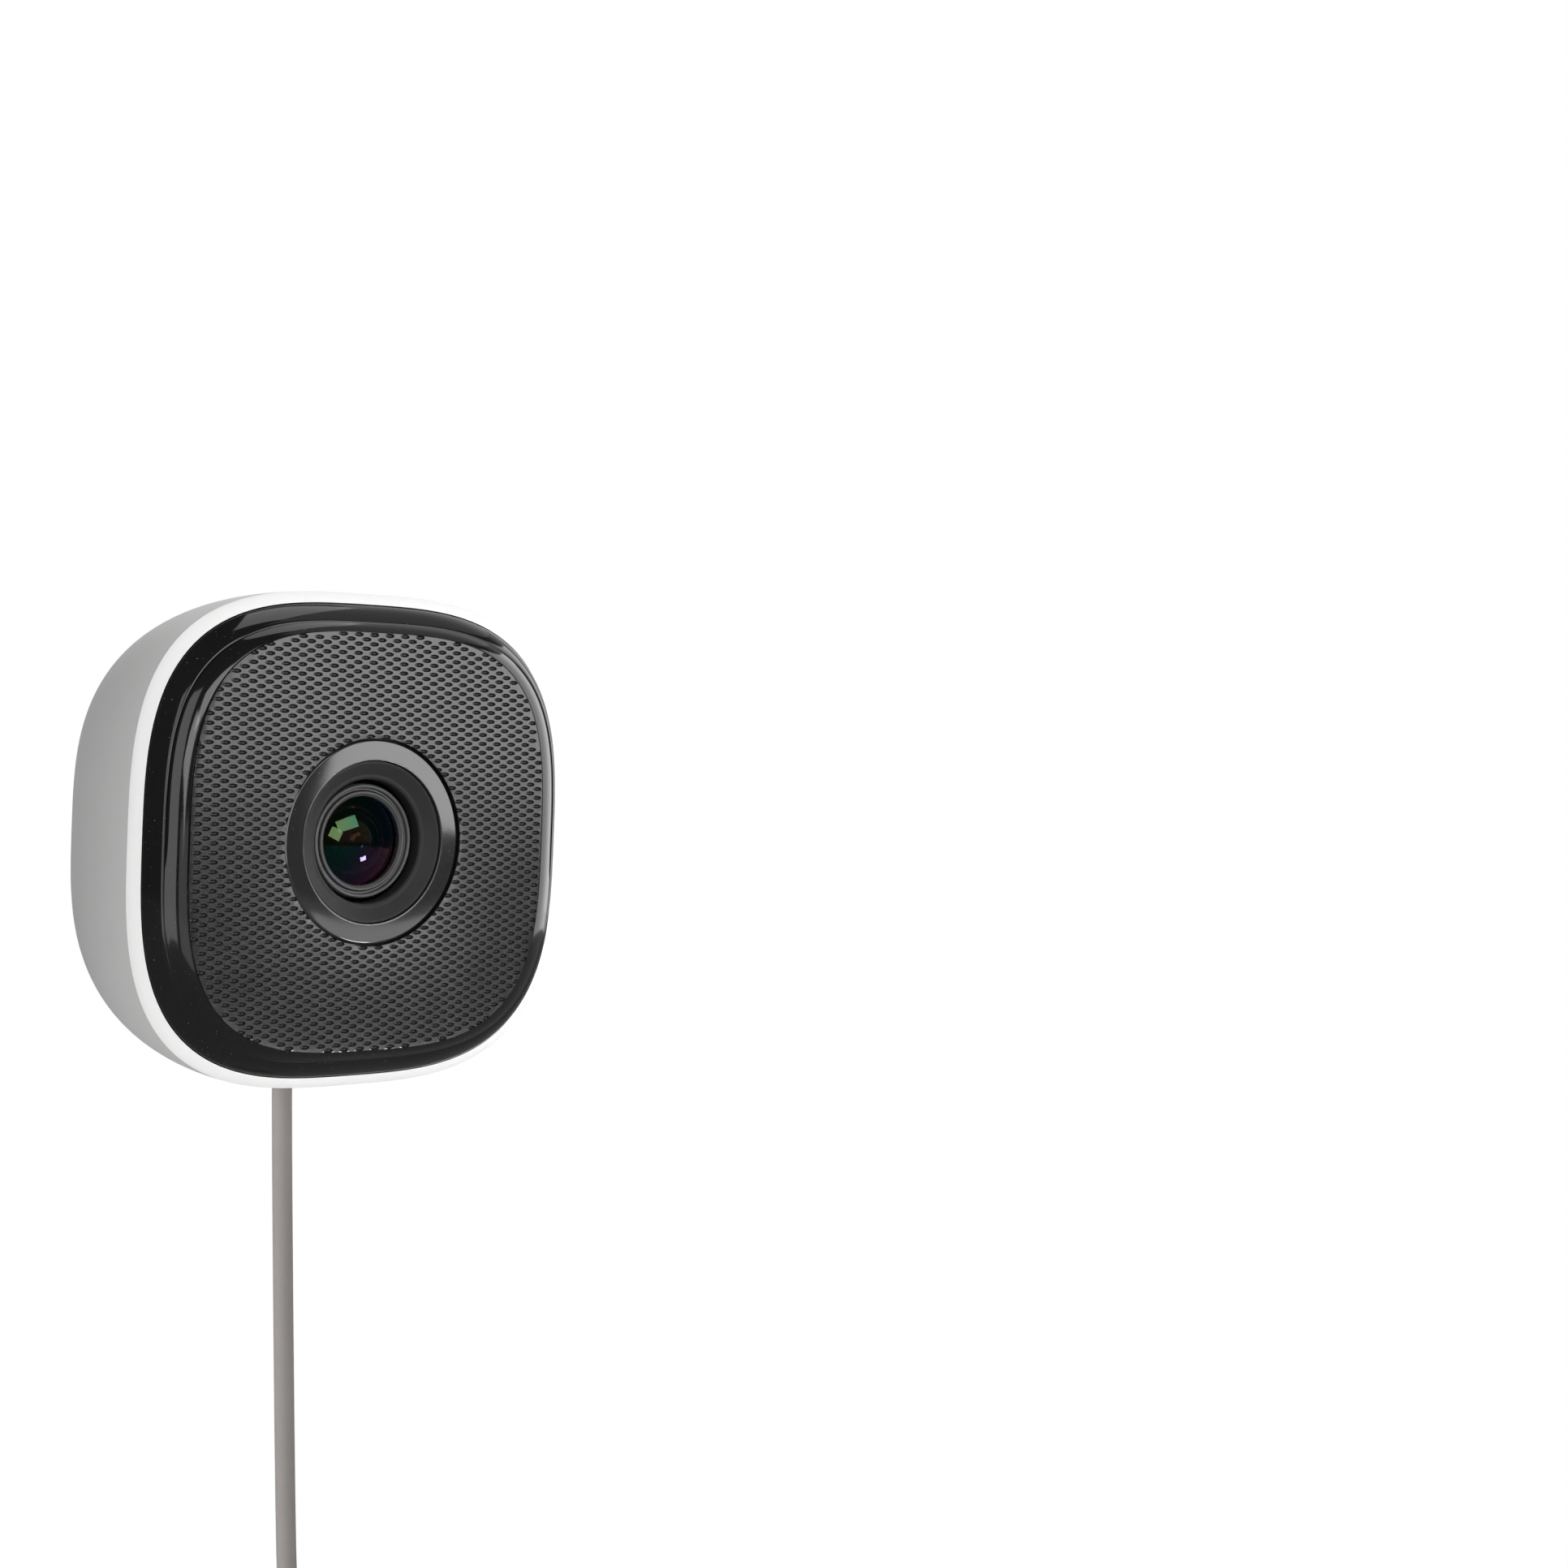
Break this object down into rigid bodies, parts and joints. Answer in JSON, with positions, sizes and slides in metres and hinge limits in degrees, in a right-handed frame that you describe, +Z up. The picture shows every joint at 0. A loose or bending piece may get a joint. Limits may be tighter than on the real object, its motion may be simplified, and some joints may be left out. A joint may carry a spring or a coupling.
{
  "type": "ip security camera",
  "caption": "Indoor network camera in a white cushion-shaped housing with a flat dotted black front, recessed lens, stand thread in the back and a coiled USB lead.",
  "frame": {"origin": "mouth of the stand's thread, in the middle of the flat back, on the lens axis", "axes": "+Z up, the lens looks along -Y, so +Y points out of the flat back along the stand's thread; +X is to the right of someone who looks at the lens from in front"},
  "size_m": [0.0809, 0.046, 0.2644],
  "materials": {
    "white_plastic": "satin white moulding",
    "black_gloss": "polished black",
    "black_dotted": "black plate with a lattice of small dots",
    "ring_black": "polished black ring",
    "hood_black": "matte black",
    "barrel_black": "black anodised, fine turned rings",
    "lens_glass": "coated optical glass",
    "holder_black": "matte black moulding",
    "filter_glass": "infrared cut filter",
    "sensor_chip": "sensor die under its window",
    "board_green": "green solder mask",
    "chip_black": "moulded chip",
    "tin": "tinned sheet",
    "screw_steel": "plated screw",
    "aluminium": "extruded, satin",
    "pad_grey": "soft thermal pad",
    "connector_white": "cream moulding",
    "ribbon_white": "flat flexible lead",
    "led_lens": "lamp package with a clear resin dome",
    "brass": "turned brass",
    "foam": "closed-cell foam",
    "cord_taupe": "satin warm grey sheath",
    "strap_black": "woven strap",
    "plug_metal": "nickel-plated shell"
  },
  "bodies": {
    "root": {"rear_shell": "white_plastic", "front_bezel": "black_gloss", "front_plate": "black_dotted", "lens_trim_ring": "ring_black", "lens_hood": "hood_black", "lens_barrel": "barrel_black", "front_retaining_ring": "barrel_black", "rear_retaining_ring": "barrel_black", "focus_lock_ring": "barrel_black", "front_lens": "lens_glass", "middle_lens": "lens_glass", "rear_lens": "lens_glass", "lens_holder": "holder_black", "filter_glass": "filter_glass", "image_sensor": "sensor_chip", "sensor_board": "board_green", "main_board": "board_green", "led_board": "board_green", "sensor_board_screws": "screw_steel", "main_board_screws": "screw_steel", "case_screws": "screw_steel", "ir_leds": "led_lens", "microphone": "tin", "led_board_screws": "screw_steel", "speaker": "chip_black", "speaker_gasket": "foam", "shield_can": "tin", "processor": "chip_black", "thermal_pad": "pad_grey", "heat_sink": "aluminium", "memory_chip": "chip_black", "wifi_module": "tin", "power_connector": "connector_white", "main_connector": "connector_white", "sensor_connector": "connector_white", "ribbon_cable": "ribbon_white", "wifi_antennas": "tin", "mount_insert": "brass", "cable_grommet": "cord_taupe", "inner_lead": "cord_taupe", "power_cord": "cord_taupe", "cord_tail": "cord_taupe", "cord_coil": "cord_taupe", "coil_tie": "strap_black", "usb_plug_body": "cord_taupe", "usb_plug_shell": "plug_metal", "usb_plug_tongue": "connector_white"}
  },
  "joints": []
}
